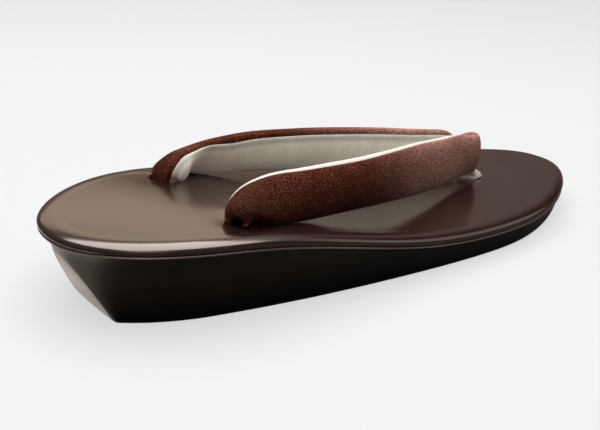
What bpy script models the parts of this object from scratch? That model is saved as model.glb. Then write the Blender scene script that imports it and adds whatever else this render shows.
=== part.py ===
# Zori sandal: a padded board on a low wedge sole, held to the foot by a two-band thong strap.
# It lies along X with the heel at -X and the toe at +X, is even about the plane Y = 0, and
# stands on Z = 0. Sizes are in millimetres and become metres when a mesh is written.

import math

import bmesh
import bpy
import numpy as np

MM = 0.001

# Driving sizes of the boards and the sole
LENGTH = 240.0
HEEL_ROUND = 45.0
TOE_ROUND = 70.0
END_FULLNESS = 2.3
GAP = 0.3
WELT_THICKNESS = 0.8
WELT_INSET = 0.5
SOLE_TOP_INSET = 1.8
SOLE_BULGE = 0.6
SOLE_EDGE_RADIUS = 1.8
EDGE_SHARE = 0.3
HEEL_BACK_INSET = 7.0
SPRING_START = 160.0
TOE_SPRING = 7.2
HEEL_CUT_TOP = 1.5
HEEL_CUT_BOTTOM = 16.0

# Columns: distance from the heel tip, half width before the ends are rounded, height of the
# sole's top, and how far the sole's side draws in by the time it reaches the ground
STATION_COLUMNS = ("along", "half_width", "seam", "draw_in")
STATIONS = (
    (0.0, 30.5, 26.4, 14.5),
    (60.0, 40.5, 24.4, 10.0),
    (120.0, 43.6, 12.1, 4.8),
    (180.0, 42.4, 8.2, 2.4),
    (240.0, 30.5, 10.2, 1.7),
)

# Section of the rolled edge, from the underside up: distance in from the edge, and height
ROLL_COLUMNS = ("inset", "rise")
ROLL = (
    (1.4, 0.0),
    (0.4, 0.3),
    (0.0, 1.05),
    (0.3, 1.95),
    (1.1, 2.7),
    (2.4, 3.12),
    (4.0, 3.27),
    (6.2, 3.3),
)

# Rings of the sole's side, from the ground up: share of the height, and how far the rounded
# bottom edge takes the ring in and up, as shares of its radius
SIDE_COLUMNS = ("share", "edge_in", "edge_up")
SIDE = (
    (0.0, 1.0, 0.0),
    (0.0, 0.3, 0.3),
    (0.0, 0.0, 1.0),
    (0.4, 0.0, 0.0),
    (0.62, 0.0, 0.0),
    (0.82, 0.0, 0.0),
    (1.0, 0.0, 0.0),
)

# Strap holes
SIDE_HOLE = (56.5, 24.5)
SIDE_HOLE_RADIUS = 5.0
FRONT_HOLE = (192.2, 0.0)
FRONT_HOLE_RADIUS = 4.4

# The face where the strap's outer half meets its lining, on the side of +Y, from the hole
# forward. Columns: place of its middle, width, thickness of each half, and lean of its upper
# edge towards the middle of the shoe, in degrees from upright
STRAP_COLUMNS = ("along", "across", "height", "width", "outer", "lining", "lean")
STRAP = (
    (56.6, 24.6, 26.4, 8.0, 3.3, 1.8, 90.0),
    (56.5, 24.6, 28.6, 8.0, 3.3, 1.8, 90.0),
    (55.9, 24.6, 31.0, 9.6, 3.6, 1.8, 84.0),
    (57.6, 24.5, 33.0, 12.8, 3.8, 1.9, 70.0),
    (62.0, 24.4, 34.15, 15.4, 3.8, 2.3, 55.0),
    (69.0, 24.3, 34.5, 16.6, 3.8, 2.7, 41.0),
    (78.0, 24.3, 33.9, 17.2, 3.7, 3.0, 29.0),
    (92.0, 24.0, 33.2, 17.4, 3.7, 3.0, 20.5),
    (106.0, 22.5, 32.1, 17.6, 3.6, 3.0, 16.0),
    (120.0, 20.2, 30.9, 18.2, 3.5, 2.9, 15.0),
    (135.0, 16.6, 29.3, 19.0, 3.4, 2.8, 13.0),
    (150.0, 12.5, 27.6, 19.5, 3.3, 2.6, 11.0),
    (165.0, 8.4, 26.0, 19.0, 3.2, 2.4, 9.0),
    (178.0, 5.0, 24.9, 18.0, 3.1, 2.0, 5.0),
)
APEX_CENTRE = 188.4
APEX_RADIUS = 3.6
APEX_HEIGHT = 24.2
APEX_WIDTH = 16.2
APEX_OUTER = 2.9
APEX_LINING = 1.8
APEX_STEPS = 3
STRAP_FULLNESS = 0.75

# Front thong, from its end in the hole up to the core between the bands: height, place of its
# middle, half length and half width
THONG_COLUMNS = ("height", "along", "half_length", "half_width")
THONG = (
    (8.9, 192.2, 3.2, 3.2),
    (11.4, 192.2, 3.5, 3.5),
    (13.2, 192.2, 4.3, 4.4),
    (14.2, 191.8, 4.5, 4.9),
    (15.5, 190.6, 3.8, 4.4),
    (15.8, 187.7, 1.3, 1.2),
    (20.5, 187.6, 1.1, 1.1),
    (21.0, 187.6, 0.5, 0.5),
)

# Mesh counts
HALF_RING = 52
STRAP_SPLIT = 3
STRAP_ARC = 8
STRAP_BACK = 4
ROUND_SIDES = 28


def column(table, names, name):
    """One column of a table, as an array."""
    return np.array([row[names.index(name)] for row in table], dtype=float)


def smooth_curve(knots, values, places):
    """Natural cubic curve through the knots, read at the given places."""
    knots = np.asarray(knots, dtype=float)
    values = np.asarray(values, dtype=float)
    step = np.diff(knots)
    slope = np.diff(values) / step
    count = len(knots)
    matrix = np.eye(count)
    right = np.zeros(count)
    for i in range(1, count - 1):
        matrix[i, i - 1:i + 2] = (step[i - 1], 2.0 * (step[i - 1] + step[i]), step[i])
        right[i] = 6.0 * (slope[i] - slope[i - 1])
    bend = np.linalg.solve(matrix, right)
    i = np.clip(np.searchsorted(knots, places) - 1, 0, count - 2)
    t = places - knots[i]
    first = slope[i] - step[i] * (2.0 * bend[i] + bend[i + 1]) / 6.0
    return values[i] + t * (first + t * (bend[i] / 2.0 + t * (bend[i + 1] - bend[i]) / (6.0 * step[i])))


def station_value(name, along):
    """A column of the stations, read along the shoe."""
    knots = column(STATIONS, STATION_COLUMNS, "along")
    return smooth_curve(knots, column(STATIONS, STATION_COLUMNS, name), along)


def ground_height(along):
    """Underside of the sole: flat, then rising to the toe."""
    forward = np.clip((along - SPRING_START) / (LENGTH - SPRING_START), 0.0, None)
    return TOE_SPRING * forward ** 2


def sole_top(along):
    """Top of the sole, a gap below the welt."""
    return station_value("seam", along) - GAP


def end_rounding(along, back, front):
    """Share of the half width that the rounded heel and toe leave, a little fuller than ellipses."""
    heel = np.clip((HEEL_ROUND - along) / (HEEL_ROUND - back), 0.0, 1.0)
    toe = np.clip((along - LENGTH + TOE_ROUND) / (TOE_ROUND - front), 0.0, 1.0)
    left = (1.0 - heel ** END_FULLNESS) * (1.0 - toe ** END_FULLNESS)
    return left ** (1.0 / END_FULLNESS)


def half_outline(inset, back, front):
    """Places along the shoe and half widths of an outline drawn in from the edge.

    inset is a function of the place along the shoe, and back and front are where the
    outline's tips lie, measured in from the shoe's own tips.
    """
    turn = np.linspace(0.0, math.pi, HALF_RING + 1)
    along = back + (LENGTH - back - front) * (1.0 - np.cos(turn)) / 2.0
    across = (station_value("half_width", along) - inset(along)) * end_rounding(along, back, front)
    return along, across


def ring_of(along, across, height):
    """Closed ring: heel tip, near side, toe tip, far side."""
    near = np.stack([along, -across, height], axis=1)
    far = np.stack([along, across, height], axis=1)[-2:0:-1]
    ring = np.concatenate([near, far])
    ring[:, 0] -= LENGTH / 2.0
    return ring


def make_object(name, mesh, collection, material=None):
    piece = bpy.data.objects.new(name, mesh)
    if material is not None:
        mesh.materials.append(material)
    collection.objects.link(piece)
    return piece


def write_mesh(name, points, faces):
    """Mesh in metres from points in millimetres, with its faces turned outwards."""
    mesh = bpy.data.meshes.new(name)
    mesh.from_pydata((np.asarray(points) * MM).tolist(), [], faces)
    work = bmesh.new()
    work.from_mesh(mesh)
    bmesh.ops.recalc_face_normals(work, faces=work.faces)
    work.to_mesh(mesh)
    work.free()
    return mesh


def side_faces(rings, count):
    """Quads between each ring and the next."""
    faces = []
    for level in range(rings - 1):
        for i in range(count):
            j = (i + 1) % count
            low = level * count
            high = low + count
            faces.append((low + i, low + j, high + j, high + i))
    return faces


def rung_faces(first, count):
    """Cap of a ring that is even about Y = 0: rungs from its near side to its far side."""
    half = count // 2
    faces = [(first, first + 1, first + count - 1)]
    for i in range(1, half - 1):
        faces.append((first + i, first + i + 1, first + count - i - 1, first + count - i))
    faces.append((first + half - 1, first + half, first + half + 1))
    return faces


def board_mesh(name, rings):
    """Closed solid through a stack of rings, with a rung cap at each end."""
    count = len(rings[0])
    faces = side_faces(len(rings), count)
    faces += rung_faces(0, count)
    faces += rung_faces((len(rings) - 1) * count, count)
    return write_mesh(name, np.concatenate(rings), faces)


def tube_mesh(name, rings):
    """Closed solid through a row of rings, with a flat face at each end."""
    count = len(rings[0])
    faces = side_faces(len(rings), count)
    last = (len(rings) - 1) * count
    faces.append(tuple(range(count)))
    faces.append(tuple(range(last, last + count)))
    return write_mesh(name, np.concatenate(rings), faces)


def smooth_by_angle(mesh, degrees):
    mesh.shade_smooth()
    mesh.set_sharp_from_angle(angle=math.radians(degrees))


def cut_away(piece, cutters):
    """Exact Boolean cuts, kept as modifiers."""
    for cutter in cutters:
        cut = piece.modifiers.new("cut_" + cutter.name, "BOOLEAN")
        cut.operation = "DIFFERENCE"
        cut.solver = "EXACT"
        cut.object = cutter


def hide_cutter(cutter):
    cutter.hide_render = True
    cutter.display_type = "WIRE"


def hole_cutter(name, place, radius, collection):
    """Upright cylinder through the boards at one strap hole."""
    work = bmesh.new()
    bmesh.ops.create_cone(
        work, cap_ends=True, segments=ROUND_SIDES, radius1=radius * MM, radius2=radius * MM,
        depth=60.0 * MM,
    )
    mesh = bpy.data.meshes.new(name)
    work.to_mesh(mesh)
    work.free()
    cutter = make_object(name, mesh, collection)
    cutter.location = ((place[0] - LENGTH / 2.0) * MM, place[1] * MM, 30.0 * MM)
    hide_cutter(cutter)
    return cutter


def heel_cutter(collection):
    """Block whose front face is the slanting cut at the back of the heel."""
    size = 80.0
    top = float(station_value("seam", np.array([0.0]))[0])
    slope = math.atan2(HEEL_CUT_BOTTOM - HEEL_CUT_TOP, top)
    work = bmesh.new()
    bmesh.ops.create_cube(work, size=size * MM)
    mesh = bpy.data.meshes.new("heel_cutter")
    work.to_mesh(mesh)
    work.free()
    cutter = make_object("heel_cutter", mesh, collection)
    middle = (HEEL_CUT_TOP + HEEL_CUT_BOTTOM) / 2.0 - LENGTH / 2.0
    cutter.location = (
        (middle - math.cos(slope) * size / 2.0) * MM,
        0.0,
        (top / 2.0 - math.sin(slope) * size / 2.0) * MM,
    )
    cutter.rotation_euler = (0.0, -slope, 0.0)
    hide_cutter(cutter)
    return cutter


def plain_material(name, colour, roughness, metallic=0.0):
    material = bpy.data.materials.new(name)
    material.use_nodes = True
    shader = material.node_tree.nodes["Principled BSDF"]
    shader.inputs["Base Color"].default_value = (*colour, 1.0)
    shader.inputs["Roughness"].default_value = roughness
    shader.inputs["Metallic"].default_value = metallic
    return material


def make_materials():
    return {
        "foam": plain_material("foam", (0.012, 0.009, 0.007), 0.45),
        "pearl_leather": plain_material("pearl_leather", (0.115, 0.062, 0.045), 0.3, 0.35),
        "grained_cloth": plain_material("grained_cloth", (0.07, 0.02, 0.013), 0.7),
        "lining_cloth": plain_material("lining_cloth", (0.48, 0.44, 0.35), 0.85),
    }


def sole_ring(share, edge_in, edge_up):
    """Ring of the sole's side, which draws in towards the ground, most of all at the heel."""
    down = (1.0 - share) ** SOLE_BULGE

    def edge_radius(along):
        return np.minimum(SOLE_EDGE_RADIUS, EDGE_SHARE * (sole_top(along) - ground_height(along)))

    def inset(along):
        drawn = station_value("draw_in", along) - SOLE_TOP_INSET
        return SOLE_TOP_INSET + drawn * down + edge_radius(along) * edge_in

    back = SOLE_TOP_INSET + (HEEL_BACK_INSET - SOLE_TOP_INSET) * down + SOLE_EDGE_RADIUS * edge_in
    front = SOLE_TOP_INSET + edge_radius(LENGTH) * edge_in
    along, across = half_outline(inset, back, front)
    ground = ground_height(along)
    height = ground + share * (sole_top(along) - ground) + edge_radius(along) * edge_up
    return ring_of(along, across, height)


def make_sole(collection, material, cutter):
    """Wedge sole with a flat cut at the back of its heel."""
    mesh = board_mesh("sole", [sole_ring(*row) for row in SIDE])
    smooth_by_angle(mesh, 35.0)
    sole = make_object("sole", mesh, collection, material)
    cut_away(sole, [cutter])
    return sole


def make_welt(collection, material, cutters):
    """Thin backing board between the sole and the padded board."""
    rings = []
    for rise in (0.0, WELT_THICKNESS):
        along, across = half_outline(lambda place: WELT_INSET, WELT_INSET, WELT_INSET)
        rings.append(ring_of(along, across, station_value("seam", along) + rise))
    mesh = board_mesh("welt", rings)
    smooth_by_angle(mesh, 35.0)
    welt = make_object("welt", mesh, collection, material)
    cut_away(welt, cutters)
    return welt


def make_footbed(collection, material, cutters):
    """Padded board with a rolled edge."""
    base = WELT_THICKNESS + GAP
    rings = []
    for inset, rise in ROLL:
        along, across = half_outline(lambda place: inset, inset, inset)
        rings.append(ring_of(along, across, station_value("seam", along) + base + rise))
    mesh = board_mesh("footbed", rings)
    smooth_by_angle(mesh, 50.0)
    footbed = make_object("footbed", mesh, collection, material)
    cut_away(footbed, cutters)
    return footbed


def strap_rows():
    """Rows of the strap from the hole at +Y, round the front, to the hole at -Y."""
    far = [list(row) for row in STRAP]
    turns = [math.pi / 2.0 * i / APEX_STEPS for i in range(APEX_STEPS + 1)]
    for turn in turns:
        far.append([
            APEX_CENTRE + APEX_RADIUS * math.sin(turn), APEX_RADIUS * math.cos(turn),
            APEX_HEIGHT, APEX_WIDTH, APEX_OUTER, APEX_LINING, 0.0,
        ])
    far[-1][1] = 0.0
    near = [[row[0], -row[1]] + row[2:6] + [-row[6]] for row in far[-2::-1]]
    return np.array(far + near, dtype=float)


def strap_frames():
    """Smooth places along the strap, with its upward and outward directions and its sizes."""
    rows = strap_rows()
    reach = np.concatenate([[0.0], np.cumsum(np.linalg.norm(np.diff(rows[:, :3], axis=0), axis=1))])
    places = np.interp(
        np.arange((len(reach) - 1) * STRAP_SPLIT + 1) / STRAP_SPLIT, np.arange(len(reach)), reach)
    smooth = np.stack([smooth_curve(reach, rows[:, k], places) for k in range(rows.shape[1])], axis=1)
    middle = smooth[:, :3]
    forward = np.gradient(middle, places, axis=0)
    forward /= np.linalg.norm(forward, axis=1)[:, None]
    lean = np.radians(smooth[:, 6])
    upward = np.stack([np.zeros_like(lean), -np.sin(lean), np.cos(lean)], axis=1)
    upward -= (upward * forward).sum(axis=1)[:, None] * forward
    upward /= np.linalg.norm(upward, axis=1)[:, None]
    outward = np.cross(upward, forward)
    return middle, upward, outward, smooth[:, 3], smooth[:, 4], smooth[:, 5]


def half_band_rings(direction):
    """Rings of one half of the band: 1 for the outer half, -1 for the lining."""
    middle, upward, outward, width, outer, lining = strap_frames()
    thickness = outer if direction > 0 else lining
    turn = np.linspace(0.0, math.pi, STRAP_ARC + 1)
    back = np.linspace(-1.0, 1.0, STRAP_BACK + 1)[1:-1]
    up_share = np.concatenate([np.cos(turn), back]) / 2.0
    out_share = np.concatenate([np.abs(np.sin(turn)) ** STRAP_FULLNESS, np.zeros(len(back))])
    rings = []
    for i in range(len(middle)):
        out = direction * (GAP / 2.0 + thickness[i] * out_share)
        ring = middle[i] + np.outer(up_share * width[i], upward[i]) + np.outer(out, outward[i])
        ring[:, 0] -= LENGTH / 2.0
        rings.append(ring)
    return rings


def make_strap_half(name, direction, collection, material):
    mesh = tube_mesh(name, half_band_rings(direction))
    smooth_by_angle(mesh, 60.0)
    return make_object(name, mesh, collection, material)


def make_front_thong(collection, material):
    """Cloth loop that holds the front of the strap down in the front hole."""
    turn = np.linspace(0.0, 2.0 * math.pi, ROUND_SIDES, endpoint=False)
    rings = []
    for height, along, half_length, half_width in THONG:
        rings.append(np.stack([
            along - LENGTH / 2.0 + half_length * np.cos(turn),
            half_width * np.sin(turn),
            np.full(ROUND_SIDES, height),
        ], axis=1))
    mesh = tube_mesh("front_thong", rings)
    smooth_by_angle(mesh, 50.0)
    return make_object("front_thong", mesh, collection, material)


def clear_scene():
    for item in list(bpy.data.objects):
        bpy.data.objects.remove(item, do_unlink=True)


def new_collection(name):
    collection = bpy.data.collections.new(name)
    bpy.context.scene.collection.children.link(collection)
    return collection


def main():
    clear_scene()
    shoe = new_collection("zori_sandal")
    cutting = new_collection("cutters")
    materials = make_materials()
    holes = [
        hole_cutter("far_side_hole", SIDE_HOLE, SIDE_HOLE_RADIUS, cutting),
        hole_cutter("near_side_hole", (SIDE_HOLE[0], -SIDE_HOLE[1]), SIDE_HOLE_RADIUS, cutting),
        hole_cutter("front_hole", FRONT_HOLE, FRONT_HOLE_RADIUS, cutting),
    ]
    make_sole(shoe, materials["foam"], heel_cutter(cutting))
    make_welt(shoe, materials["pearl_leather"], holes)
    make_footbed(shoe, materials["pearl_leather"], holes)
    make_strap_half("strap_outer", 1.0, shoe, materials["grained_cloth"])
    make_strap_half("strap_lining", -1.0, shoe, materials["lining_cloth"])
    make_front_thong(shoe, materials["lining_cloth"])


main()
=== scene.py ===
import math

import bmesh
import bpy
import numpy as np
from mathutils import Matrix, Vector


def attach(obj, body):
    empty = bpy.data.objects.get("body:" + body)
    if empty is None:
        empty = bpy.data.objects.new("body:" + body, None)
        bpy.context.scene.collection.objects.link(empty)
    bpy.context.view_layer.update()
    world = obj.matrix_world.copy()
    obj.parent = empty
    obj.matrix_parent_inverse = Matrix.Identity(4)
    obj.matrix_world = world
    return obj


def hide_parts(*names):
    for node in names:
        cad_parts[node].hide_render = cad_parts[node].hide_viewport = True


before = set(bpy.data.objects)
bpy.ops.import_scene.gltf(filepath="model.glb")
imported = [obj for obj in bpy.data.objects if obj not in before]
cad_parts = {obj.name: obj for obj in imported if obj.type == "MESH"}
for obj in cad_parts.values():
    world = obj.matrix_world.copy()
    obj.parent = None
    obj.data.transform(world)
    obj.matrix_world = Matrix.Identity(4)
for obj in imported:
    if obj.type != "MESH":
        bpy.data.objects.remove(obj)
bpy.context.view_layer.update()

# Sizes are in millimetres from the heel tip, as the sandal was built, and become metres
# in the frame when a mesh is written
mm = 0.001
toDecimetres = 0.01  # for UV maps and places along the cloth

shoe = {
    "length": 240.0,
    "heelRound": 45.0,
    "toeRound": 70.0,
    "fullness": 2.3,
    "springStart": 160.0,
    "toeSpring": 7.2,
    "gap": 0.3,
}

# Distance from the heel tip, half width, height of the sole's top, draw-in at the ground
stations = np.array([
    (0.0, 30.5, 26.4, 14.5),
    (60.0, 40.5, 24.4, 10.0),
    (120.0, 43.6, 12.1, 4.8),
    (180.0, 42.4, 8.2, 2.4),
    (240.0, 30.5, 10.2, 1.7),
])
halfWidth, seam, drawIn = 1, 2, 3


# Natural cubic curve through the knots, read at any array of places
def smoothCurve(knots, values, places):
    step = np.diff(knots)
    slope = np.diff(values) / step
    count = len(knots)
    matrix = np.eye(count)
    right = np.zeros(count)
    for i in range(1, count - 1):
        matrix[i, i - 1:i + 2] = (step[i - 1], 2.0 * (step[i - 1] + step[i]), step[i])
        right[i] = 6.0 * (slope[i] - slope[i - 1])
    bend = np.linalg.solve(matrix, right)
    i = np.clip(np.searchsorted(knots, places) - 1, 0, count - 2)
    t = places - knots[i]
    first = slope[i] - step[i] * (2.0 * bend[i] + bend[i + 1]) / 6.0
    second = bend[i] / 2.0 + t * (bend[i + 1] - bend[i]) / (6.0 * step[i])
    return values[i] + t * (first + t * second)


def stationValue(which, along):
    return smoothCurve(stations[:, 0], stations[:, which], along)


# Underside: level as far as the ball, then up by the square of the share of the way to the toe
def groundHeight(along):
    reach = shoe["length"] - shoe["springStart"]
    forward = np.clip((along - shoe["springStart"]) / reach, 0.0, None)
    return shoe["toeSpring"] * forward ** 2


def soleTop(along):
    return stationValue(seam, along) - shoe["gap"]


# Share of the half width left by the rounded heel and toe: one minus a power, at each end
def endRounding(along, back, front):
    power = shoe["fullness"]
    heel = np.clip((shoe["heelRound"] - along) / (shoe["heelRound"] - back), 0.0, 1.0)
    intoToe = along - shoe["length"] + shoe["toeRound"]
    toe = np.clip(intoToe / (shoe["toeRound"] - front), 0.0, 1.0)
    return np.clip((1.0 - heel ** power) * (1.0 - toe ** power), 0.0, 1.0) ** (1.0 / power)


# Length from the first point to each one, by the straight steps between them
def lengthAlong(points):
    steps = np.linalg.norm(np.diff(points, axis=0), axis=1)
    return np.concatenate([[0.0], np.cumsum(steps)])


# Smooth step from 0 to 1: three times the square less twice the cube
def easeStep(value):
    t = np.clip(value, 0.0, 1.0)
    return t * t * (3.0 - 2.0 * t)


# The same step, which starts at the span's first value and takes its second
def easeOver(value, span):
    return easeStep((value - span[0]) / span[1])


# One at the middle, falling off by the exponential of minus the squared distance
def bell(value, middle, spread):
    return np.exp(-((value - middle) / spread) ** 2)


# Straight passage from one value to another by a share
def passage(first, last, share):
    return first + (last - first) * share


# Steps from 0 to 1 that crowd together round given places: the inverse of a summed density
def crowdedSteps(count, bumps):
    fine = np.linspace(0.0, 1.0, 4001)
    density = np.ones_like(fine)
    for place, spread, extra in bumps:
        density += extra * bell(fine, place, spread)
    total = np.concatenate([[0.0], np.cumsum((density[1:] + density[:-1]) / 2.0)])
    return np.interp(np.linspace(0.0, total[-1], count + 1), total, fine)


# Surface on a grid of points, each row closed on itself, with a UV map in decimetres; points
# that coincide, at poles and spines, are merged
def gridPiece(name, points, uv, extras=None):
    rows, columns = points.shape[:2]
    index = np.arange(rows * columns).reshape(rows, columns)
    nextRow = np.roll(index, -1, axis=0)
    nextColumn = np.roll(index, -1, axis=1)
    both = np.roll(nextRow, -1, axis=1)
    quads = np.stack([index, nextColumn, both, nextRow], axis=2)[:-1].reshape(-1, 4)
    place = points.reshape(-1, 3).copy()
    place[:, 0] -= shoe["length"] / 2.0
    mesh = bpy.data.meshes.new(name)
    mesh.vertices.add(len(place))
    mesh.vertices.foreach_set("co", (place * mm).ravel())
    mesh.loops.add(quads.size)
    mesh.loops.foreach_set("vertex_index", quads.ravel())
    mesh.polygons.add(len(quads))
    mesh.polygons.foreach_set("loop_start", np.arange(0, quads.size, 4))
    layer = mesh.uv_layers.new(name="cloth")
    layer.data.foreach_set("uv", (uv.reshape(-1, 2)[quads.ravel()] * toDecimetres).ravel())
    for extra, values in (extras or {}).items():
        mesh.attributes.new(extra, "FLOAT", "POINT").data.foreach_set("value", values.ravel())
    mesh.update(calc_edges=True)
    mesh.validate()
    work = bmesh.new()
    work.from_mesh(mesh)
    bmesh.ops.remove_doubles(work, verts=work.verts, dist=0.004 * mm)
    bmesh.ops.recalc_face_normals(work, faces=work.faces)
    work.to_mesh(mesh)
    work.free()
    mesh.shade_smooth()
    piece = bpy.data.objects.new(name, mesh)
    bpy.context.scene.collection.objects.link(piece)
    return piece


# Whole turn round the outline from half turns: near side first, then the far side back
def wholeTurn(half):
    return np.concatenate([half, 2.0 * math.pi - half[..., -2:0:-1]], axis=-1)


# Ring points at constant insets: x by a cosine along the length, y by the half width
def boardRing(inset, turn):
    inset = inset[:, None]
    t = turn[None, :]
    along = inset + (shoe["length"] - 2.0 * inset) * (1.0 - np.cos(t)) / 2.0
    across = (stationValue(halfWidth, along) - inset) * endRounding(along, inset, inset)
    return along, -across * np.sign(np.sin(t))


# Rings drawn in towards a spine on the middle line, by a share from 1 at the edge to 0
def towardsSpine(along, across, turn, share, ends):
    spine = passage(*ends, (1.0 - np.cos(turn)) / 2.0)
    share = share[:, None]
    return passage(spine, along, share), across * share


# A socket that takes part in Python sums; numbers stay plain values on the Math node
class Wire:
    def __init__(self, tree, socket):
        self.tree = tree
        self.socket = socket

    # One node: its type, its settings, the values or links of its inputs, and the output read
    def node(self, kind, settings=None, inputs=None, output=0):
        made = self.tree.nodes.new("ShaderNode" + kind)
        for name, value in (settings or {}).items():
            if name == "stops":
                setStops(made.color_ramp, value)
            else:
                setattr(made, name, value)
        for name, value in (inputs or {}).items():
            if isinstance(value, Wire):
                self.tree.links.new(value.socket, made.inputs[name])
            else:
                made.inputs[name].default_value = value
        return Wire(self.tree, made.outputs[output])

    def sum(self, operation, first, second):
        return self.node("Math", {"operation": operation}, {0: first, 1: second})

    def __add__(self, other):
        return self.sum("ADD", self, other)

    def __rsub__(self, other):
        return self.sum("SUBTRACT", other, self)

    def __mul__(self, other):
        return self.sum("MULTIPLY", self, other)


def setStops(ramp, stops):
    while len(ramp.elements) < len(stops):
        ramp.elements.new(1.0)
    for element, (place, colour) in zip(ramp.elements, stops):
        element.position = place
        element.color = (*colour, 1.0)


def newMaterial(name):
    material = bpy.data.materials.new(name)
    material.use_nodes = True
    tree = material.node_tree
    shader = tree.nodes["Principled BSDF"]
    return material, Wire(tree, None), shader


def plug(wires, shader, links):
    for name, value in links.items():
        wires.tree.links.new(value.socket, shader.inputs[name])


def setConstants(shader, constants):
    for name, value in constants.items():
        shader.inputs[name].default_value = value


def objectPlace(wires):
    return wires.node("TexCoord", output=3)


def clothPlace(wires):
    return wires.node("UVMap", {"uv_map": "cloth"})


def noise(wires, place, scale, detail=3.0, roughness=0.5):
    return wires.node("TexNoise", None, {
        "Vector": place, "Scale": scale, "Detail": detail, "Roughness": roughness})


def cells(wires, place, scale):
    return wires.node("TexVoronoi", {"feature": "F1"}, {"Vector": place, "Scale": scale})


def ramp(wires, factor, stops):
    return wires.node("ValToRGB", {"stops": stops}, {"Fac": factor})


# Colour mix: the Mix node's colour sockets are numbers 6 and 7, and its colour output is 2
def mixed(wires, factor, first, second):
    return wires.node("Mix", {"data_type": "RGBA"}, {0: factor, 6: first, 7: second}, 2)


def scaled(wires, colour, share):
    return wires.node("VectorMath", {"operation": "SCALE"}, {"Vector": colour, "Scale": share})


def attribute(wires, name):
    return wires.node("Attribute", {"attribute_name": name}, output=2)


# Share from one value to another as the factor goes through a span
def spanShare(wires, factor, span, first=0.0, last=1.0, settings=None):
    return wires.node("MapRange", settings, {
        "Value": factor, "From Min": span[0], "From Max": span[1], "To Min": first, "To Max": last})


# Value that follows a noise, whose output mostly lies from 0.3 to 0.7
def between(wires, factor, low, high):
    return spanShare(wires, factor, (0.3, 0.7), low, high)


def bump(wires, height, distance, strength):
    return wires.node("Bump", None, {"Height": height, "Distance": distance, "Strength": strength})


# Leathers: colours of the clouding, range of roughness
pearl = {
    "dark": (0.0070, 0.0021, 0.0014),
    "light": (0.0125, 0.0042, 0.0029),
    "roughness": (0.18, 0.22),
}
# The welt's binding: the pearl leather in lighter colours, painted light for the edge that catches
# the light from above
paintedLitBinding = {
    "dark": (0.060, 0.034, 0.027),
    "light": (0.105, 0.066, 0.054),
    "roughness": (0.34, 0.42),
}


def pearlLeather(name, finish):
    material, wires, shader = newMaterial(name)
    place = objectPlace(wires)
    cloud = noise(wires, place, 38.0, 2.0)
    grain = noise(wires, place, 900.0, 3.0, 0.6)
    pores = cells(wires, place, 1300.0)
    plug(wires, shader, {
        "Base Color": ramp(wires, cloud, ((0.32, finish["dark"]), (0.70, finish["light"]))),
        "Roughness": between(wires, grain * 0.5 + cloud * 0.5, *finish["roughness"]),
        "Normal": bump(wires, grain * 0.7 + pores * 0.3, 0.00004, 0.018),
    })
    setConstants(shader, {
        "IOR": 1.5, "Specular IOR Level": 1.0, "Specular Tint": (1.0, 0.82, 0.71, 1.0),
        "Coat Weight": 0.15, "Coat Roughness": 0.14})
    return material


# Foam: two colours and the share left of them at the ground as painted shade, fading by a height
foam = {
    "dark": (0.0150, 0.0104, 0.0058),
    "light": (0.0320, 0.0225, 0.0130),
    "roughness": (0.30, 0.40),
    "groundShade": 0.06,
    "groundReach": (0.002, 0.017),  # metres
}


def foamRubber():
    material, wires, shader = newMaterial("foam")
    place = objectPlace(wires)
    cloud = noise(wires, place, 60.0, 3.0)
    pores = noise(wires, place, 1500.0, 2.0, 0.6)
    height = wires.node("SeparateXYZ", None, {0: place}, 2)
    # Painted shade: the foam darkens towards the ground
    rise = spanShare(wires, height, foam["groundReach"], foam["groundShade"])
    tones = ((0.0, (0.0, 0.0, 0.0)), (0.35, foam["dark"]), (0.65, foam["light"]))
    plug(wires, shader, {
        "Base Color": ramp(wires, (cloud * 0.4 + 0.35) * rise, tones),
        "Roughness": between(wires, cloud, *foam["roughness"]),
        "Normal": bump(wires, pores, 0.00005, 0.25),
    })
    setConstants(shader, {"IOR": 1.45, "Specular IOR Level": 0.22})
    return material


# Crepe of the strap: tones of its grain, full at the feet and lit by painted light at the front
crepe = {
    "grain": 0.00043,  # metres
    "full": ((0.021, 0.0040, 0.0016), (0.054, 0.0118, 0.0051), (0.27, 0.098, 0.058)),
    "paintedLitTones": ((0.130, 0.056, 0.042), (0.262, 0.136, 0.108), (0.68, 0.46, 0.39)),
    "stops": (0.42, 0.60, 0.75),
    "paintedLitShare": 0.90,
    "litFrontSpan": (0.50, 1.24),  # decimetres from the foot
    "leastDepth": 0.03,
}


def crepeCloth():
    material, wires, shader = newMaterial("grainedCloth")
    place = objectPlace(wires)
    scale = 1.0 / crepe["grain"]
    pebbles = cells(wires, place, scale)
    threads = noise(wires, place, scale * 0.8, 3.0, 0.65)
    cloud = noise(wires, place, 90.0, 2.0)
    grain = (1.0 - pebbles) * 0.62 + threads * 0.38
    tone = grain * 0.86 + cloud * 0.14
    full = ramp(wires, tone, tuple(zip(crepe["stops"], crepe["full"])))
    paintedLitTones = ramp(wires, tone, tuple(zip(crepe["stops"], crepe["paintedLitTones"])))
    fromFoot = attribute(wires, "fromFoot")
    smooth = {"interpolation_type": "SMOOTHSTEP"}
    # Painted light: the crepe lightens towards the front of the strap
    frontLight = spanShare(wires, fromFoot, crepe["litFrontSpan"], 0.0, crepe["paintedLitShare"], smooth)
    # Painted shade and painted light from the band's shade attribute, squared, scale the colour
    depth = wires.sum("MAXIMUM", 1.0 - attribute(wires, "shade"), crepe["leastDepth"])
    plug(wires, shader, {
        "Base Color": scaled(wires, mixed(wires, frontLight, full, paintedLitTones), depth * depth),
        "Roughness": between(wires, threads, 0.52, 0.74),
        "Normal": bump(wires, grain, 0.00022, 0.7),
    })
    setConstants(shader, {
        "Sheen Weight": 0.16, "Sheen Roughness": 0.20, "Sheen Tint": (1.0, 0.86, 0.78, 1.0),
        "Specular IOR Level": 0.03})
    return material
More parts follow.
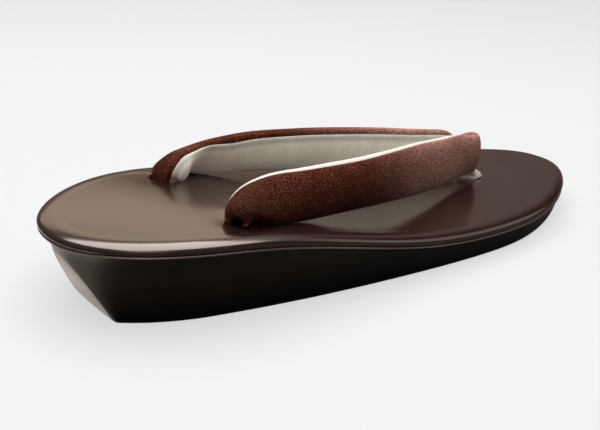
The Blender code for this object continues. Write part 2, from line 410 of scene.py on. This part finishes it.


# Cream cloths: two colours, and painted shade at the seam: the share of them left there,
# which fades out by a distance round the band in decimetres
loop = {
    "dark": (0.34, 0.275, 0.235),
    "light": (0.50, 0.415, 0.36),
    "edgeShade": 1.0,
    "edgeWidth": (0.0, 0.01),
}
velvet = {
    "dark": (0.68, 0.645, 0.545),
    "light": (0.88, 0.845, 0.740),
    "edgeShade": 0.55,
    "edgeWidth": (0.012, 0.026),
}


def liningCloth(name, finish):
    material, wires, shader = newMaterial(name)
    place = clothPlace(wires)
    nap = noise(wires, place, 330.0, 4.0, 0.65)
    cloud = noise(wires, place, 20.0, 3.0)
    stretched = wires.node("Mapping", None, {"Vector": place, "Scale": (75.0, 6.0, 1.0)})
    streaks = noise(wires, stretched, 1.0, 2.0)
    roundBand = wires.node("SeparateXYZ", None, {0: place}, 1)
    # Painted shade: the cloth darkens along its seam
    edge = spanShare(wires, roundBand, finish["edgeWidth"], finish["edgeShade"])
    tone = nap * 0.3 + cloud * 0.4 + streaks * 0.3
    cloth = ramp(wires, tone, ((0.32, finish["dark"]), (0.66, finish["light"])))
    plug(wires, shader, {
        "Base Color": scaled(wires, cloth, edge),
        "Roughness": between(wires, nap, 0.78, 0.92),
        "Normal": bump(wires, nap * 0.25 + streaks * 0.75, 0.0004, 0.5),
    })
    setConstants(shader, {
        "Sheen Weight": 0.12, "Sheen Roughness": 0.5, "Sheen Tint": (1.0, 0.95, 0.9, 1.0),
        "Specular IOR Level": 0.2})
    return material


# A piece gets its material, rides on the frame and takes the place of the named solids
def dress(piece, material, slotName, *nodes):
    piece.data.materials.append(material)
    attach(piece, "root")
    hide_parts(*nodes)
    return piece


padding = {
    "base": 0.84, "crown": 0.30, "spine": (14.0, 222.0),
    "columns": 250, "rollRows": 34, "topRows": 62, "underRows": 10,
    # place along, place across, radius
    "holes": ((56.5, -24.5, 4.3), (56.5, 24.5, 4.3), (192.2, 0.0, 4.2)),
    "holeDepth": 3.05, "holeLip": (-0.2, 1.5), "pullDepth": 0.42, "pullReach": 5.0,
    # place, spread and extra density of the columns and rows that pass the holes
    "columnCrowd": ((0.315, 0.035, 2.6), (0.702, 0.03, 2.4)),
    "rowCrowd": ((0.38, 0.12, 1.6), (0.97, 0.08, 1.4)),
}

# Distance in from the edge, height above the roll's foot
rollSection = np.array([
    (1.2, 0.0), (0.5, 0.25), (0.05, 0.85), (0.12, 1.6), (0.75, 2.45),
    (1.9, 3.02), (3.4, 3.36), (5.2, 3.5), (7.0, 3.5)])


# Section of the roll, read smoothly by distance along it
def rollProfile(count):
    reach = lengthAlong(rollSection)
    places = np.linspace(0.0, reach[-1], count)
    inset = np.maximum(smoothCurve(reach, rollSection[:, 0], places), 0.0)
    return inset, smoothCurve(reach, rollSection[:, 1], places)


# Dip of the cover at the strap holes: a rounded step down inside each, and a soft pull round it
def holeDip(along, across):
    dip = np.zeros_like(along)
    for x, y, radius in padding["holes"]:
        far = np.hypot(along - x, across - y)
        inside = 1.0 - easeOver(far - radius, padding["holeLip"])
        pull = bell(np.maximum(far - radius, 0.0), 0.0, padding["pullReach"])
        dip += padding["holeDepth"] * inside + padding["pullDepth"] * pull * (1.0 - inside)
    return dip


# Height of the board's top away from its roll, where the strap rests on it
def boardTop(along, across):
    flatHalf = stationValue(halfWidth, along) - rollSection[-1, 0]
    share = np.clip(np.abs(across) / flatHalf, 0.0, 1.0)
    top = stationValue(seam, along) + padding["base"] + rollSection[-1, 1]
    return top + padding["crown"] * (1.0 - share ** 2) - holeDip(along, across)


# Board cover: underside out from the spine, up the roll, and in over the top to the spine
def footbedPiece():
    half = math.pi * crowdedSteps(padding["columns"], padding["columnCrowd"])
    turn = wholeTurn(half)
    insetRoll, riseRoll = rollProfile(padding["rollRows"])
    under = np.linspace(0.0, 1.0, padding["underRows"])[:-1]
    top = 1.0 - crowdedSteps(padding["topRows"], padding["rowCrowd"])[1:]
    inset = np.pad(insetRoll, (len(under), len(top)), "edge")
    rise = np.pad(riseRoll, (len(under), len(top)), "edge")
    share = np.concatenate([under, np.ones(len(insetRoll)), top])
    along, across = boardRing(inset, turn)
    along, across = towardsSpine(along, across, turn, share, padding["spine"])
    isTop = np.arange(len(share))[:, None] >= len(under) + len(insetRoll) - 1
    crown = padding["crown"] * (1.0 - share[:, None] ** 2) * isTop
    height = stationValue(seam, along) + padding["base"] + rise[:, None] + crown
    height -= holeDip(along, across) * isTop
    points = np.stack([along, across, height], axis=2)
    uv = np.stack([along, across], axis=2)
    return gridPiece("footbedCover", points, uv)


backing = {
    "inset": 0.2, "thickness": 0.8, "round": 0.4, "columns": 200, "edgeRows": 9, "flatRows": 7,
    "spine": (14.0, 222.0),
}


# Thin board: flat underside, a small half-round edge, flat top
def weltPiece():
    turn = wholeTurn(np.linspace(0.0, math.pi, backing["columns"] + 1))
    arc = np.linspace(-math.pi / 2.0, math.pi / 2.0, backing["edgeRows"])
    edgeInset = backing["inset"] + backing["round"] * (1.0 - np.cos(arc))
    edgeRise = backing["thickness"] * (1.0 + np.sin(arc)) / 2.0
    count = backing["flatRows"]
    flat = np.linspace(0.0, 1.0, count + 1)[:-1]
    inset = np.pad(edgeInset, count, "edge")
    rise = np.pad(edgeRise, count, "edge")
    share = np.concatenate([flat, np.ones(len(arc)), flat[::-1]])
    along, across = boardRing(inset, turn)
    along, across = towardsSpine(along, across, turn, share, backing["spine"])
    points = np.stack([along, across, stationValue(seam, along) + rise[:, None]], axis=2)
    return gridPiece("weltBoard", points, np.stack([along, across], axis=2))


block = {
    "topInset": 1.8, "bulge": 0.6, "edgeRadius": 1.8, "edgeShare": 0.3, "backInset": 7.0,
    "recess": 1.1, "recessDepth": 1.5,
    "cutTop": 1.5, "cutBottom": 16.0, "cutFillet": 0.3, "cutReach": 6.0, "footRound": 1.6,
    "cutBow": 0.6, "cutHalf": 15.0,
    "columns": 220, "facetColumns": 34, "edgeRows": 8, "sideRows": 34, "flatRows": 9,
    "lastRow": 0.985, "facetCrowd": 1.7, "sideCrowd": 1.35, "riseCrowd": 1.7,
    "leastTurn": 0.004, "spine": (40.0, 222.0),
}


# Rings of the side: the half width less a draw-in that grows as a power of the depth, rounded
# at the ground and stepped in just under the boards
def soleRings(share, edgeIn, edgeUp, turn):
    share, edgeIn, edgeUp = share[:, None], edgeIn[:, None], edgeUp[:, None]
    down = (1.0 - share) ** block["bulge"]
    tip = np.array([shoe["length"]])
    tipTall = float(soleTop(tip)[0] - groundHeight(tip)[0])
    tipRadius = min(block["edgeRadius"], block["edgeShare"] * tipTall)
    back = passage(block["topInset"], block["backInset"], down) + block["edgeRadius"] * edgeIn
    front = block["topInset"] + tipRadius * edgeIn
    along = back + (shoe["length"] - back - front) * (1.0 - np.cos(turn)) / 2.0
    ground = groundHeight(along)
    tall = soleTop(along) - ground
    radius = np.minimum(block["edgeRadius"], block["edgeShare"] * tall)
    inset = passage(block["topInset"], stationValue(drawIn, along), down) + radius * edgeIn
    inset = inset + block["recess"] * easeStep(1.0 - (1.0 - share) * tall / block["recessDepth"])
    across = (stationValue(halfWidth, along) - inset) * endRounding(along, back, front)
    height = ground + share * tall + radius * edgeUp * (1.0 - share)
    return along, -across * np.sign(np.sin(turn)), height


# The slanting plane at the back of the heel, with its foot rounded by a quarter circle
def heelPlane(height):
    top = float(stationValue(seam, np.array([0.0]))[0])
    below = np.clip(1.0 - height / block["footRound"], 0.0, 1.0)
    rounded = block["footRound"] * (1.0 - np.sqrt(1.0 - below ** 2))
    return block["cutBottom"] + (block["cutTop"] - block["cutBottom"]) * height / top + rounded


# Half turns for each ring that put one column exactly on the edge of the heel's flat cut
def facetTurns(share, edgeIn, edgeUp):
    fine = np.linspace(0.0, math.pi, 6001)[None, :]
    along, _, height = soleRings(share, edgeIn, edgeUp, fine)
    behind = along < heelPlane(height)
    last = np.maximum(behind.sum(axis=1) - 1, 0)
    cut = np.maximum(fine[0, last], block["leastTurn"])[:, None]
    inner = 1.0 - (1.0 - np.linspace(0.0, 1.0, block["facetColumns"] + 1)) ** block["facetCrowd"]
    outer = np.linspace(0.0, 1.0, block["columns"] + 1)[1:] ** block["sideCrowd"]
    return np.concatenate([cut * inner, passage(cut, math.pi, outer)], axis=1)


# Block: underside from the spine to the rounded edge, up the side, and in over the top; the
# heel's points behind the slanting cut are moved on to it, with a hyperbola as its edge's fillet
def solePiece():
    arc = np.linspace(0.0, math.pi / 2.0, block["edgeRows"])
    rise = 1.0 - np.linspace(1.0, 0.0, block["sideRows"])[1:] ** block["riseCrowd"]
    share = np.concatenate([np.zeros(len(arc)), rise])
    edgeIn = np.concatenate([1.0 - np.sin(arc), np.zeros(len(rise))])
    edgeUp = np.concatenate([1.0 - np.cos(arc), np.ones(len(rise))])
    half = facetTurns(share, edgeIn, edgeUp)
    turn = wholeTurn(half)
    along, across, height = soleRings(share, edgeIn, edgeUp, turn)
    bow = np.clip(1.0 - (across / block["cutHalf"]) ** 2, 0.0, 1.0)
    plane = heelPlane(height) - block["cutBow"] * bow
    cutAlong = (along + plane + np.sqrt((along - plane) ** 2 + block["cutFillet"] ** 2)) / 2.0
    along = np.where(along < plane + block["cutReach"], cutAlong, along)
    flat = np.linspace(0.0, 1.0, block["flatRows"] + 1)[:-1]
    edge = np.concatenate([flat, [block["lastRow"]]])
    lowAlong, lowAcross = towardsSpine(along[:1], across[:1], turn[0], edge, block["spine"])
    highAlong, highAcross = towardsSpine(
        along[-1:], across[-1:], turn[-1], edge[::-1], block["spine"])
    low = np.stack([lowAlong, lowAcross, groundHeight(lowAlong)], axis=2)
    high = np.stack([highAlong, highAcross, soleTop(highAlong)], axis=2)
    side = np.stack([along, across, height], axis=2)
    points = np.concatenate([low, side, high])
    return gridPiece("soleBlock", points, points[:, :, (0, 2)])


# Middle of the far band (along, across, height), its width, the thickness of the outer half
# and of the lining, lean in degrees
bandRows = np.array([
    (56.6, 24.6, 26.4, 8.2, 3.6, 3.2, 90.0),
    (56.5, 24.6, 28.6, 9.0, 4.5, 4.5, 90.0),
    (55.9, 24.6, 31.0, 11.2, 5.7, 5.8, 84.0),
    (57.6, 24.5, 33.0, 13.4, 5.0, 5.8, 70.0),
    (62.0, 24.4, 34.1, 15.7, 4.1, 5.2, 55.0),
    (66.0, 24.3, 34.25, 16.6, 3.9, 4.0, 46.0),
    (70.0, 24.3, 34.25, 17.2, 3.8, 2.8, 39.5),
    (78.0, 24.3, 33.8, 17.4, 3.7, 3.0, 29.0),
    (92.0, 24.0, 33.2, 17.4, 3.7, 3.0, 20.5),
    (106.0, 22.5, 32.1, 17.6, 3.6, 3.0, 16.0),
    (120.0, 20.2, 30.9, 18.2, 3.5, 2.9, 15.0),
    (135.0, 16.6, 29.3, 19.0, 3.4, 2.8, 13.0),
    (150.0, 12.5, 27.6, 19.5, 3.3, 2.6, 11.0),
    (165.0, 8.4, 26.0, 19.0, 3.2, 2.4, 9.0),
    (178.0, 5.0, 24.9, 18.0, 3.1, 2.0, 5.0),
])

# Spans give a start and a reach, bells a middle and a spread
band = {
    "apexCentre": 188.4, "apexRadius": 3.6, "apexHeight": 24.2, "apexWidth": 16.2,
    "apexOuter": 2.9, "apexLining": 1.8, "apexSteps": 3,
    "split": 13, "arcColumns": 52, "backColumns": 8, "girthRow": 80,
    "fullness": 0.75, "rest": 0.06, "liningRelief": 0.55,
    # angle of the top seam round the tube, in degrees
    "farStart": 2.0, "farSeam": -37.0, "farSpan": (8.0, 28.0), "turnSpan": (0.0, 26.0),
    "nearStart": -24.0, "nearSeam": 29.0, "nearSpan": (1.5, 5.5),
    "nearFront": 16.0, "frontSpan": (40.0, 80.0),
    # how far each cloth goes under the tube, in degrees
    "wrap": 88.0, "wrapLeast": 20.0, "wrapSpan": (5.0, 20.0),
    # relief
    "seamGroove": 0.16, "grooveWidth": 0.07, "puff": 0.08, "puffTurns": (0.19, 3.0),
    "outerSpan": (24.6, 2.0), "nose": 1.6, "noseBell": (-90.0, 56.0),
    "noseStart": (-0.8, 2.4), "noseEnd": (11.5, 3.5),
    # dip of the far band just before the front, and its foot slid and thinned
    "farDip": 2.8, "farDipWidth": 2.6, "dipBell": (6.8, 4.9),
    "farSlide": 1.6, "slideBell": (8.0, 4.2), "farThin": 0.46, "thinBell": (5.0, 3.2),
    # shares of the crepe's colour taken away as painted shade, and given to the top as painted
    # light
    "gatherShade": 0.52, "lowShade": 0.32, "lowSpan": (0.1, 0.8),
    "lowFade": 0.65, "litFrontSpan": (45.0, 50.0), "topLight": 0.10, "topSpan": (0.0, 0.35),
}

# Gathers at the outer side of each foot: place along, height, slope in degrees,
# half length, half width, depth (negative for the folds that stand up between them)
gathers = (
    (51.3, 30.1, 108.0, 1.9, 1.0, 2.1),
    (54.5, 29.5, 33.0, 2.1, 0.75, 2.2),
    (53.0, 30.3, 44.0, 1.8, 0.55, -1.2),
    (55.8, 28.4, 5.0, 2.2, 0.4, -0.8),
)

# Creases: distance from the hole, place across from top to bottom (0 to 1),
# reach along, reach across, depth, slant
creases = (
    (13.0, 0.60, 4.5, 0.040, 0.22, 0.016),
    (22.0, 0.34, 8.0, 0.060, 0.10, -0.006),
    (128.0, 0.36, 7.0, 0.060, 0.12, 0.004),
    (134.0, 0.74, 5.0, 0.060, 0.14, -0.006),
)


# Middle line from the far hole round the front to the near one: a smooth curve through the
# rows, a quarter circle to the front and their mirror image, with the directions up and out
def bandFrames():
    far = [list(row) for row in bandRows]
    for turn in np.linspace(0.0, math.pi / 2.0, band["apexSteps"] + 1):
        along = band["apexCentre"] + band["apexRadius"] * math.sin(turn)
        across = band["apexRadius"] * math.cos(turn)
        far.append([
            along, across, band["apexHeight"], band["apexWidth"],
            band["apexOuter"], band["apexLining"], 0.0])
    far[-1][1] = 0.0
    near = [[row[0], -row[1]] + row[2:6] + [-row[6]] for row in far[-2::-1]]
    rows = np.array(far + near)
    reach = lengthAlong(rows[:, :3])
    steps = np.arange((len(reach) - 1) * band["split"] + 1) / band["split"]
    places = np.interp(steps, np.arange(len(reach)), reach)
    smooth = np.stack([smoothCurve(reach, column, places) for column in rows.T], axis=1)
    forward = np.gradient(smooth[:, :3], places, axis=0)
    forward /= np.linalg.norm(forward, axis=1)[:, None]
    lean = np.radians(smooth[:, 6])
    beforeFront = places[-1] / 2.0 - places
    dip = bell(beforeFront, *band["dipBell"])
    smooth[:, 2] -= band["farDip"] * dip / 2.0
    smooth[:, 3] -= band["farDipWidth"] * dip
    smooth[:, 0] += band["farSlide"] * bell(places, *band["slideBell"])
    smooth[:, 4] *= 1.0 - band["farThin"] * bell(places, *band["thinBell"])
    upward = np.stack([np.zeros_like(lean), -np.sin(lean), np.cos(lean)], axis=1)
    upward -= (upward * forward).sum(axis=1)[:, None] * forward
    upward /= np.linalg.norm(upward, axis=1)[:, None]
    return smooth, upward, np.cross(upward, forward), places


# Offset of the cloth: a slow swell by sines along and across, and the creases, each a groove
# with a bell-shaped section both ways
def clothRelief(distance, across, depthShare):
    relief = np.zeros(np.broadcast_shapes(distance.shape, across.shape))
    for place, centre, alongReach, acrossReach, depth, slant in creases:
        offset = across - centre - slant * (distance - place)
        relief -= depth * bell(distance, place, alongReach) * bell(offset, 0.0, acrossReach)
    turnsAlong, turnsAcross = band["puffTurns"]
    swell = np.sin(distance * turnsAlong + across * turnsAcross) * np.sin(math.pi * across)
    return (relief + band["puff"] * swell) * depthShare


# Depth of the gathers on the outer side of each band's foot: bells with their own slope
def gatherRelief(points):
    relief = np.zeros(points.shape[:2])
    for place, height, slope, halfLength, halfWide, depth in gathers:
        x, z = points[:, :, 0] - place, points[:, :, 2] - height
        cosine, sine = math.cos(math.radians(slope)), math.sin(math.radians(slope))
        lengthwise, sideways = x * cosine + z * sine, z * cosine - x * sine
        relief -= depth * bell(lengthwise, 0.0, halfLength) * bell(sideways, 0.0, halfWide)
    return relief * easeOver(np.abs(points[:, :, 1]), band["outerSpan"])


# Padding that fills the bend at each foot: a plateau along the band times a bell round the tube
def noseRelief(distance, angle):
    along = easeOver(distance, band["noseStart"]) * (1.0 - easeOver(distance, band["noseEnd"]))
    return band["nose"] * along * bell(angle, *np.radians(band["noseBell"]))


# Angle of the top seam round the padded tube, in degrees from its ridge: turned inwards on the
# far band and round the front, and outwards along the near band as far as its foot
def topSeam(places):
    far = passage(band["farStart"], band["farSeam"], easeOver(places, band["farSpan"]))
    toFoot = places[-1] - places
    near = passage(band["nearStart"], band["nearSeam"], easeOver(toFoot, band["nearSpan"]))
    near += (band["nearFront"] - band["nearSeam"]) * easeOver(toFoot, band["frontSpan"])
    pastFront = places - places[-1] / 2.0
    return np.radians(passage(far, near, easeOver(pastFront, band["turnSpan"])))


# Rows of points closed at both ends by a row at the mean of the last one
def closedEnds(points):
    ends = [np.broadcast_to(points[i].mean(axis=0), points[i].shape)[None] for i in (0, -1)]
    return np.concatenate([ends[0], points, ends[1]])


# Directions square to a grid of points: the cross product of its two slopes, pointing away from
# the middle of each row
def gridNormals(points):
    alongRow = np.gradient(points, axis=1)
    acrossRow = np.gradient(points, axis=0)
    normal = np.cross(alongRow, acrossRow)
    normal /= np.maximum(np.linalg.norm(normal, axis=2), 1e-9)[:, :, None]
    side = (normal * (points - points.mean(axis=1, keepdims=True))).sum(axis=2)
    return normal * np.sign(side.sum())


# Section of the whole tube at an angle from its top ridge, outwards positive: a cosine of the
# width upwards, and a power of the sine times either half's thickness outwards
def tubeSection(angle, width, outer, lining):
    up = np.cos(angle) * width / 2.0
    out = np.abs(np.sin(angle)) ** band["fullness"]
    return up, np.where(np.sin(angle) >= 0.0, outer * out, -lining * out)


# Share of the crepe's colour taken away as painted shade: by its lower part, which fades along the
# band, and by the gathers' pits, with a little painted light given back at the top and on the
# standing folds
def bandShade(across, distance, gathered):
    frontLight = band["lowFade"] * easeOver(distance, band["litFrontSpan"])
    low = easeOver(across, band["lowSpan"]) * (1.0 - frontLight)
    top = 1.0 - easeOver(across, band["topSpan"])
    return band["lowShade"] * low - band["topLight"] * top - band["gatherShade"] * gathered


# One cloth of the padded band: the tube's section from the top seam round to the bottom one,
# closed by a straight back inside the tube, carried along the band's frames
def bandHalf(name, side, reliefScale):
    smooth, upward, outward, places = bandFrames()
    seamAngle = topSeam(places)[:, None]
    steps = np.linspace(0.0, 1.0, band["arcColumns"] + 1)[None, :]
    width, outer, lining = smooth[:, 3:4], smooth[:, 4:5], smooth[:, 5:6]
    distance = np.minimum(places, places[-1] - places)[:, None]
    wrap = passage(band["wrap"], band["wrapLeast"], easeOver(distance, band["wrapSpan"]))
    angle = passage(seamAngle, side * math.pi + np.radians(wrap), steps)
    up, out = tubeSection(angle, width, outer, lining)
    points = smooth[:, None, :3] + up[:, :, None] * upward[:, None, :]
    points = points + out[:, :, None] * outward[:, None, :]
    across = 0.5 - up / width
    gathered = gatherRelief(points)
    relief = clothRelief(distance, across, np.sin(math.pi * steps) ** 0.5) * reliefScale
    relief = relief + gathered + noseRelief(distance, angle)
    fromSeam = np.minimum(steps, 1.0 - steps)
    relief = relief - band["seamGroove"] * (1.0 - easeStep(fromSeam / band["grooveWidth"]))
    points = points + gridNormals(points) * relief[:, :, None]
    board = boardTop(points[:, :, 0], points[:, :, 1]) + band["rest"]
    points[:, :, 2] = np.maximum(points[:, :, 2], board)
    backSteps = np.linspace(0.0, 1.0, band["backColumns"] + 2)[None, 1:-1, None]
    back = passage(points[:, -1:], points[:, :1], backSteps)
    points = closedEnds(np.concatenate([points, back], axis=1))
    shade = np.pad(bandShade(across, distance, gathered), ((0, 0), (0, band["backColumns"])))
    shade = np.pad(shade, ((1, 1), (0, 0)), "edge")
    length = np.pad(places, 1, "edge")
    girth = lengthAlong(points[band["girthRow"]])
    uv = np.stack(np.broadcast_arrays(length[:, None], girth[None, :]), axis=2)
    fromFoot = np.minimum(length, places[-1] - length)[:, None] * toDecimetres
    extras = {"shade": shade, "fromFoot": np.broadcast_to(fromFoot, shade.shape)}
    return gridPiece(name, points, uv, extras)


# Height, place of the middle, half length, half width
thongRows = np.array([
    (8.9, 192.2, 3.2, 3.2), (11.4, 192.4, 3.9, 3.9), (12.4, 193.1, 4.7, 4.7),
    (13.1, 193.3, 4.9, 4.9), (14.2, 193.0, 4.5, 4.6), (16.0, 191.2, 3.6, 3.8),
    (18.5, 189.2, 1.6, 1.6), (21.0, 187.8, 0.9, 0.9)])

thong = {
    "columns": 96, "rows": 90, "folds": 7, "foldDepth": 0.042, "foldTop": 17.5, "foldReach": 4.0,
    "clothRadius": 4.5,
}


# Round rings carried up the thong, with gathers, a cosine round it, that deepen towards the hole
def thongPiece():
    knots = np.arange(len(thongRows), dtype=float)
    steps = np.linspace(0.0, knots[-1], thong["rows"])
    rows = np.stack([smoothCurve(knots, column, steps) for column in thongRows.T], axis=1)
    turn = np.linspace(0.0, 2.0 * math.pi, thong["columns"], endpoint=False)[None, :]
    deep = easeStep((thong["foldTop"] - rows[:, :1]) / thong["foldReach"])
    fold = 1.0 + thong["foldDepth"] * deep * (np.cos(thong["folds"] * turn) - 1.0)
    x = rows[:, 1:2] + rows[:, 2:3] * fold * np.cos(turn)
    y = rows[:, 3:4] * fold * np.sin(turn)
    z = np.broadcast_to(rows[:, :1], x.shape)
    points = closedEnds(np.stack([x, y, z], axis=2))
    uv = np.stack(np.broadcast_arrays(points[:, :, 2], turn * thong["clothRadius"]), axis=2)
    return gridPiece("thongLoop", points, uv)


# Metres and radians; the focal length is in pixels of the photo
view = {
    "place": (-0.2217, -0.2355, 0.1361), "yaw": 0.604, "pitch": 0.309, "roll": 0.0194,
    "lensPixels": 957.8, "zoom": 0.94, "shift": (0.1457, -0.105),
    "imageWidth": 600.0, "sensor": 36.0, "clipStart": 0.01,
}


# Camera as fitted to the photo: its heading turned from +Y by the yaw, down by the pitch, and
# rolled about it
def makeCamera():
    camera = bpy.data.objects.new("camera", bpy.data.cameras.new("camera"))
    bpy.context.scene.collection.objects.link(camera)
    yaw, pitch, roll = view["yaw"], view["pitch"], view["roll"]
    level = Vector((math.cos(yaw), -math.sin(yaw), 0.0))
    flat = math.cos(pitch)
    ahead = Vector((math.sin(yaw) * flat, math.cos(yaw) * flat, -math.sin(pitch)))
    up = level.cross(ahead)
    right = math.cos(roll) * level + math.sin(roll) * up
    top = math.cos(roll) * up - math.sin(roll) * level
    turned = Matrix((right, top, -ahead)).transposed().to_4x4()
    camera.matrix_world = Matrix.Translation(view["place"]) @ turned
    camera.data.sensor_width = view["sensor"]
    camera.data.lens = view["lensPixels"] * view["zoom"] / view["imageWidth"] * view["sensor"]
    camera.data.shift_x, camera.data.shift_y = view["shift"]
    camera.data.clip_start = view["clipStart"]
    bpy.context.scene.camera = camera


studio = {
    "floorColour": 0.12, "floorBounce": 0.07, "floorGlow": 0.625, "floorSize": 12.0,
    "lamps": (
        # name, place, aim, width, height, watts, colour
        ("overhead", (-0.06, 0.05, 0.75), (-0.06, 0.05, 0.0), 1.0, 1.12, 20.4, (0.96, 0.98, 1.0)),
        ("overheadFront", (0.64, 0.02, 0.75), (0.64, 0.02, 0.0), 0.4, 0.85, 0.5, (1.0, 0.96, 0.95)),
        ("behind", (0.34, 1.12, 0.60), (-0.06, 0.0, 0.03), 1.25, 0.40, 1.72, (1.0, 0.79, 0.61)),
        ("frontRight", (0.85, -0.42, 0.45), (0.03, 0.0, 0.03), 0.6, 0.5, 0.8, (1.0, 0.93, 0.91)),
        ("frontLeft", (-0.70, -0.85, 0.75), (0.0, 0.0, 0.03), 0.6, 0.5, 0.9, (1.0, 0.98, 0.96)),
    ),
    "card": {
        "place": (-0.112, 0.034, 0.0012), "width": 0.044, "height": 0.097, "watts": 0.0205,
        "colour": (1.0, 0.90, 0.77),
    },
    "skyStops": ((0.22, (0.92, 0.62, 0.48)), (0.45, (0.98, 0.94, 0.92))), "skyStrength": 0.26,
    "flagAim": (0.777, -0.260, 0.573), "flagSpan": (0.72, 0.86), "flag": (0.10, 0.04, 0.03, 1.0),
    "backdrop": (3.4, 3.4, 3.4, 1.0),
}


# Plain floor that glows for the camera alone, and is darker for light that bounces
def makeFloor():
    size = studio["floorSize"] / 2.0
    corners = [(-size, -size, 0), (size, -size, 0), (size, size, 0), (-size, size, 0)]
    mesh = bpy.data.meshes.new("floor")
    mesh.from_pydata(corners, [], [(0, 1, 2, 3)])
    floor = bpy.data.objects.new("floor", mesh)
    bpy.context.scene.collection.objects.link(floor)
    material, wires, shader = newMaterial("floorPaint")
    seen = wires.node("LightPath")
    paint = seen * (studio["floorColour"] - studio["floorBounce"]) + studio["floorBounce"]
    plug(wires, shader, {"Base Color": paint, "Emission Color": seen})
    setConstants(shader, {
        "Roughness": 0.8, "Specular IOR Level": 0.0, "Emission Strength": studio["floorGlow"]})
    mesh.materials.append(material)


def areaLamp(name, place, width, height, watts, colour):
    data = bpy.data.lights.new(name, "AREA")
    data.shape = "RECTANGLE"
    data.size = width
    data.size_y = height
    data.energy = watts
    data.color = colour
    lamp = bpy.data.objects.new(name, data)
    lamp.location = place
    bpy.context.scene.collection.objects.link(lamp)
    return lamp


def makeLamps():
    for name, place, aim, *settings in studio["lamps"]:
        lamp = areaLamp(name, place, *settings)
        lamp.rotation_euler = (Vector(aim) - Vector(place)).to_track_quat("-Z", "Y").to_euler()


# Bright card that lies on the floor behind the heel, out of the camera's sight: the slanting
# cut shows its reflection
def makeCard():
    lamp = areaLamp("heelCard", **studio["card"])
    lamp.rotation_euler = (math.pi, 0.0, 0.0)
    lamp.visible_camera = False


# Sky whose colour follows the height of the direction, with a dark flag where the dot product
# with the flag's aim is large; the camera sees a plain backdrop instead
def makeSky():
    world = bpy.data.worlds.new("studioSky")
    bpy.context.scene.world = world
    world.use_nodes = True
    tree = world.node_tree
    wires = Wire(tree, None)
    background = tree.nodes["Background"]
    direction = wires.node("TexCoord", output=0)
    height = wires.node("SeparateXYZ", None, {0: direction}, 2)
    colour = ramp(wires, height, studio["skyStops"])
    towardsFlag = wires.node("VectorMath", {"operation": "DOT_PRODUCT"}, {
        0: direction, 1: studio["flagAim"]}, 1)
    covered = spanShare(wires, towardsFlag, studio["flagSpan"])
    colour = mixed(wires, covered, colour, studio["flag"])
    colour = mixed(wires, wires.node("LightPath"), colour, studio["backdrop"])
    tree.links.new(colour.socket, background.inputs["Color"])
    background.inputs["Strength"].default_value = studio["skyStrength"]


leatherMaterial = pearlLeather("pearlLeather", pearl)
paintedLitBindingMaterial = pearlLeather("paintedLitEdgeBinding", paintedLitBinding)
foamMaterial = foamRubber()
crepeMaterial = crepeCloth()
velvetMaterial = liningCloth("liningCloth", velvet)
loopMaterial = liningCloth("loopCloth", loop)
print("materials made")

sole = dress(solePiece(), foamMaterial, "foam", "sole")
welt = dress(weltPiece(), paintedLitBindingMaterial, "pearl_leather", "welt")
footbed = dress(footbedPiece(), leatherMaterial, "pearl_leather", "footbed")
print("sole and boards made")

strapOuter = dress(bandHalf("strapCloth", 1.0, 1.0), crepeMaterial, "grained_cloth", "strap_outer")
strapLining = bandHalf("strapLining", -1.0, band["liningRelief"])
dress(strapLining, velvetMaterial, "lining_cloth", "strap_lining")
thongLoop = dress(thongPiece(), loopMaterial, "lining_cloth", "front_thong")
print("strap and thong made")

makeFloor()
makeLamps()
makeCard()
makeSky()
makeCamera()
bpy.context.scene.view_settings.view_transform = "Standard"
print("studio made")
